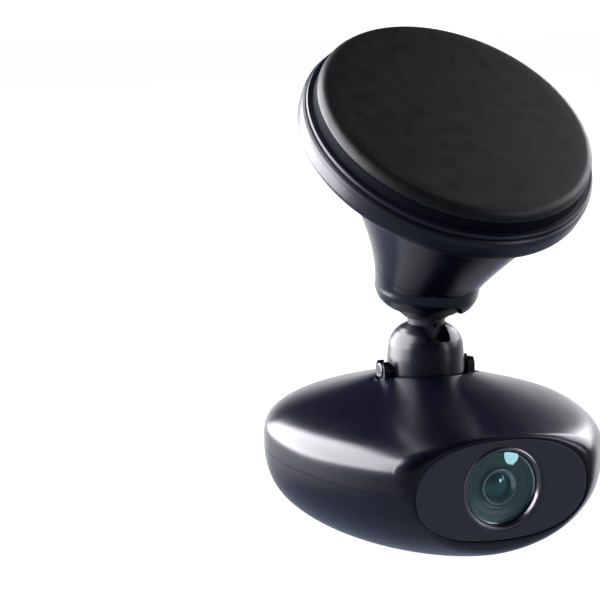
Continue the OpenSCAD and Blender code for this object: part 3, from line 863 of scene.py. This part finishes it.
# Power inlet, card slot, button and light at the back; screw wells and speaker outlets below.
PORT_Z = 14.85
SPEAKER_Y, SPEAKER_RING = 9, 3.4
ports = [rounded_box("port", (-10.7, 25, PORT_Z - 1.85), (-1.3, 45, PORT_Z + 1.85), 0.7),
         rounded_box("port", (1.2, 25, PORT_Z - 1), (12.8, 45, PORT_Z + 1), 0.35),
         cylinder("port", (-15, 25, PORT_Z), (-15, 45, PORT_Z), 1.9),
         cylinder("port", (-19.5, 20, PORT_Z), (-19.5, 45, PORT_Z), 1.1)]
ports += [cylinder("port", (x, y, -2), (x, y, 11.5), 2.1)
          for x, y in ((-26, 14), (26, 14), (-27, -16), (27, -16))]
outlets = [(SPEAKER_RING * math.cos(math.radians(60 * k)),
            SPEAKER_Y + SPEAKER_RING * math.sin(math.radians(60 * k))) for k in range(6)]
ports += [cylinder("port", (x, y, -1), (x, y, 5), 0.7, 24) for x, y in outlets + [(0, SPEAKER_Y)]]
boolean(lower, ("DIFFERENCE", box("above", (-60, -60, SEAM_Z - 0.05), (60, 60, 60))),
        *[("DIFFERENCE", p) for p in ports])
piece(lower, "head", "shell", M["shell"], "lower_shell")

# ---- Front panel and lens ----


def panel_object():
    count = 256
    phi = np.linspace(0, 2 * math.pi, count, endpoint=False)
    hole = 10.14
    edge = panel_r(phi, 0)
    rows = [(np.full(count, hole + out), back)
            for out, back in ((0, 2.0), (0, 0.12), (0.04, 0.04), (0.12, 0.0))]
    for k in range(1, 10):
        s = k / 10
        rows.append((hole + 0.12 + (edge - 0.3 - hole - 0.12) * s, 0.0))
    for k in range(0, 7):
        a = math.radians(15 * k)
        rows.append((edge - 0.3 + 0.3 * math.sin(a), 0.3 * (1 - math.cos(a))))
    rows.append((edge, 2.0))
    skin = Skin()
    made = skin.rings([np.stack([r * np.cos(phi), np.full(count, -FACE_Y + back),
                                 LENS_Z + r * np.sin(phi)], 1) for r, back in rows])
    skin.join(made[-1], made[0])
    return to_object("face_panel", new_bmesh(skin))


piece(panel_object(), "head", "panel", M["panel"], "front_panel")



def dome(r, edge, sag, steps):
    """The front of a lens, from its edge to its middle, which stands sag further out."""
    shares = [1 - k / steps for k in range(steps + 1)]
    return [(r * t, edge - sag * (1 - t ** 2)) for t in shares]


rim = [(8.85, 1.95), (8.85, 0.5, 0.15), (9.3, -0.18, 0.2), (9.75, -0.3, 0.16), (10.1, 0.0, 0.1),
       (10.1, 2.6), (8.4, 2.6), (8.4, 1.95)]
piece(lathe("lens_rim", rim, AT_LENS, 160), "head", "bezel", M["bezel"], "lens_bezel")
front_glass = lathe("lens_front", [(0, 1.9), (8.7, 1.9)] + dome(8.7, 0.8, 1.0, 20), AT_LENS)
piece(front_glass, "head", "lens", M["lens"], "front_lens", sharp=40)
steps = [(8.4, 2.65), (8.4, 3.3), (6.0, 3.9), (6.0, 6.2), (4.5, 6.2), (4.5, 3.12), (5.4, 3.02),
         (5.45, 3.06), (5.6, 3.06), (5.65, 2.99), (6.8, 2.86), (6.85, 2.9), (7.0, 2.88),
         (7.05, 2.83), (8.0, 2.65)]
piece(lathe("lens_cone", steps, AT_LENS), "head", "baffle", M["baffle"], "lens_baffle")
ring = [(3.2, 4.2), (3.2, 3.0, 0.15), (3.85, 2.5), (3.92, 2.26, 0.06), (4.14, 2.26, 0.06),
        (4.22, 2.5), (4.4, 2.7, 0.1), (4.4, 4.2)]
piece(lathe("lens_inner_ring", ring, AT_LENS), "head", "bezel", M["bezel"], "inner_ring")
# The inner lens takes the pupil's painted-shade glass.
piece(lathe("lens_inner", [(0, 5.2), (3.1, 5.2)] + dome(3.1, 3.6, 0.9, 12), AT_LENS, 96),
      "head", "lens", M["pupil"], "inner_lens", sharp=40)

# ---- Arm ----

BELL_R, PIN_R = 10, 2.1
AT_HEAD = move(0, 0, 0)


def ball(r, z, angles):
    """Points of a ball's outline at height z, by angle from its bottom."""
    return [(r * math.sin(math.radians(a)), z - r * math.cos(math.radians(a))) for a in angles]


profile = [(0, PIN_Z - BELL_R)] + ball(BELL_R, PIN_Z, range(6, 90, 6))
profile += [(BELL_R, PIN_Z + 0.3, 0), (9.85, 43, 8), (9.55, 46.2, 6), (9.1, 47.7, 3),
            (8.1, 49.3, 3), (6.8, 50.5, 3), (5.6, 51.15, 1.2), (5.05, 51.4, 0.15), (4.9, 51.2, 0),
            (4.9, 45), (0, 45)]
bell = lathe("bell", profile, AT_HEAD, 160)
notch = rounded_box("notch", (-3.3, -12, 47.9), (3.3, -3.5, 56), 0.6)
pin_hole = cylinder("pin_hole", (-15, 0, PIN_Z), (15, 0, PIN_Z), PIN_R + 0.02, 96)
boolean(bell, ("DIFFERENCE", notch), ("DIFFERENCE", pin_hole))
piece(bell, "arm", "arm", M["arm"], "hinge_bell")

ball_from = math.degrees(math.asin(STEM_R / BALL_R)) + 1.2
profile = [(0, 45), (STEM_R - 0.3, 45), (STEM_R, 45.3), (STEM_R, 53.2)]
profile += ball(BALL_R, BALL_Z, np.linspace(ball_from, 179, 44)) + [(0, BALL_Z + BALL_R)]
stud = lathe("stud", profile, AT_HEAD)
boolean(stud, ("DIFFERENCE", cylinder("hole", (0, -9.2, 51.7), (0, 1, 51.7), 1.12, 48)))
piece(stud, "arm", "arm", M["stud"], "ball_stud")

profile = [(0, -13), (PIN_R, -13, 0.5), (PIN_R, 13, 0.5), (0, 13)]
pin = lathe("pin", profile, move(0, 0, PIN_Z) @ turn_y(90), 96, 6)
piece(pin, "arm", "pin", M["pin"], "cross_pin")

# ---- Mount ----

piece(collar_object(), "mount", "mount", M["mount"], "ball_collar", sharp=30)
piece(neck_object(), "mount", "mount", M["mount"], "mount_neck", sharp=30)


def disc(name, slot, node, profile):
    """A round piece about the pad's axis, with heights below the pad's face."""
    piece(lathe(name, profile, AT_PAD, 192), "mount", slot, M[slot], node)


top = PLATE_TOP
disc("plate", "plate", "mount_plate",
     [(0, top), (36.95, top, 0), (37.5, top - 0.45, 0.5), (37.7, top - 1.6, 1.0),
      (37.6, top - 4.4, 1.5), (37.3, top - 5.4, 0.6), (36.7, -DISC_H, 0.35),
      (32.95, -DISC_H, 0), (32.95, top - 2), (0, top - 2)])
disc("trim", "trim", "trim_ring",
     [(33.5, top), (36.6, top, 0), (36.6, top + 0.45, 0.08), (36.9, top + 0.8, 0.15),
      (36.6, top + 1.2, 0.12), (33.5, top + 1.2)])
disc("carrier", "carrier", "pad_carrier",
     [(0, -3), (34.8, -3, 0), (35.4, -5.25, 0.3), (35.2, -5.4, 0.1), (33.4, -5.4), (33.4, top),
      (0, top)])
EDGE_R = 2.4
gel = [(0, 0), (20, 0.0), (30, 0.0)]
gel += [(32.7 + EDGE_R * math.cos(math.radians(a)), -EDGE_R + EDGE_R * math.sin(math.radians(a)))
        for a in range(90, -1, -9)]
disc("gel_pad", "pad", "adhesive_pad", gel + [(35.0, -2.55, 0), (34.6, -3.0, 0), (0, -3)])

# ---- Studio ----

bpy.context.scene.view_settings.view_transform = "Standard"


def coordinates(nt, kind):
    parts = node(nt, "ShaderNodeSeparateXYZ")
    nt.links.new(node(nt, "ShaderNodeTexCoord").outputs[kind], parts.inputs[0])
    return parts.outputs


# A pale table lit from below, dimmer in front of the object and left out of reflections.
floor_mat, nt, bsdf = shader("studio_paper")
cloud = spread(nt, noise(nt, 30, 3), 0, 1)
paper = blend_colour(nt, cloud, (0.11, 0.11, 0.11), (0.12, 0.12, 0.12))
nt.links.new(paper, bsdf.inputs["Base Color"])
bsdf.inputs["Roughness"].default_value = 0.9
bsdf.inputs["Specular IOR Level"].default_value = 0.0
parts = coordinates(nt, "Object")
glow = spread(nt, parts["Y"], 0.35, 0.98, -0.36, -0.06)
nt.links.new(glow, bsdf.inputs["Emission Strength"])
bsdf.inputs["Emission Color"].default_value = (1, 1, 1, 1)
table = Skin()
steps = np.linspace(-8000, 8000, 9)
grid = [table.ring([(x, y, 0) for x in steps]) for y in steps]
table.f = [(a[i], a[i + 1], b[i + 1], b[i]) for a, b in zip(grid, grid[1:]) for i in range(8)]
backdrop = to_object("backdrop", new_bmesh(table))
finish_mesh(backdrop, 60)
backdrop.data.materials.append(floor_mat)
backdrop.visible_glossy = False

# Pale near the horizon, dim in front and below, dark overhead.
world = bpy.data.worlds.new("studio")
bpy.context.scene.world = world
world.use_nodes = True
nt = world.node_tree
sky = nt.nodes["Background"]
parts = coordinates(nt, "Generated")
side = spread(nt, parts["Y"], 0, 1, -0.3, 0.5)
level = blend_colour(nt, side, (0.2, 0.2, 0.25), (1.3, 1.3, 1.36))
fall = spread(nt, parts["Z"], 0, 1, -0.5, -0.28)
level = blend_colour(nt, fall, (0.3, 0.36, 0.5), level)
height = spread(nt, parts["Z"], 0, 1, 0.03, 0.24)
nt.links.new(blend_colour(nt, height, level, (0.012, 0.013, 0.045)), sky.inputs["Color"])


def softbox(name, place, aim, size, radiance, colour=(1, 1, 1)):
    """An area light at place, facing aim, that the camera doesn't see."""
    data = bpy.data.lights.new(name, "AREA")
    data.shape = "RECTANGLE"
    data.size, data.size_y = size
    data.energy = radiance * size[0] * size[1] * 4
    data.color = colour
    ob = bpy.data.objects.new(name, data)
    ob.location = place
    ob.rotation_euler = (Vector(aim) - Vector(place)).to_track_quat("-Z", "Y").to_euler()
    ob.visible_camera = False
    bpy.context.scene.collection.objects.link(ob)
    return ob


COOL = (0.96, 0.95, 1.0)
softbox("left_box", (-0.96, 0.53, 0.85), (0, 0, 0.85), (2.1, 1.7), 11, COOL)
softbox("left_card", (-0.65, 0.55, 0.004), (-0.65, 0.55, 1), (1.0, 1.0), 10, COOL)
softbox("right_box", (1.1, 0.28, 0.6), (0, 0, 0.6), (1.4, 0.78), 5, COOL)
softbox("right_strip", (0.63, -0.645, 0.36), (0, 0, 0.3), (0.08, 0.7), 9, COOL)

# A small lamp for the front lens alone gives its glint.
lamp = softbox("front_lamp", (0.325, -0.55, 0.068), (0, -0.046, 0.0207), (0.125, 0.125), 20)
lamp.data.shape = "DISK"
lit = bpy.data.collections.new("lamp_lit")
lit.objects.link(front_glass)
lamp.light_linking.receiver_collection = lit
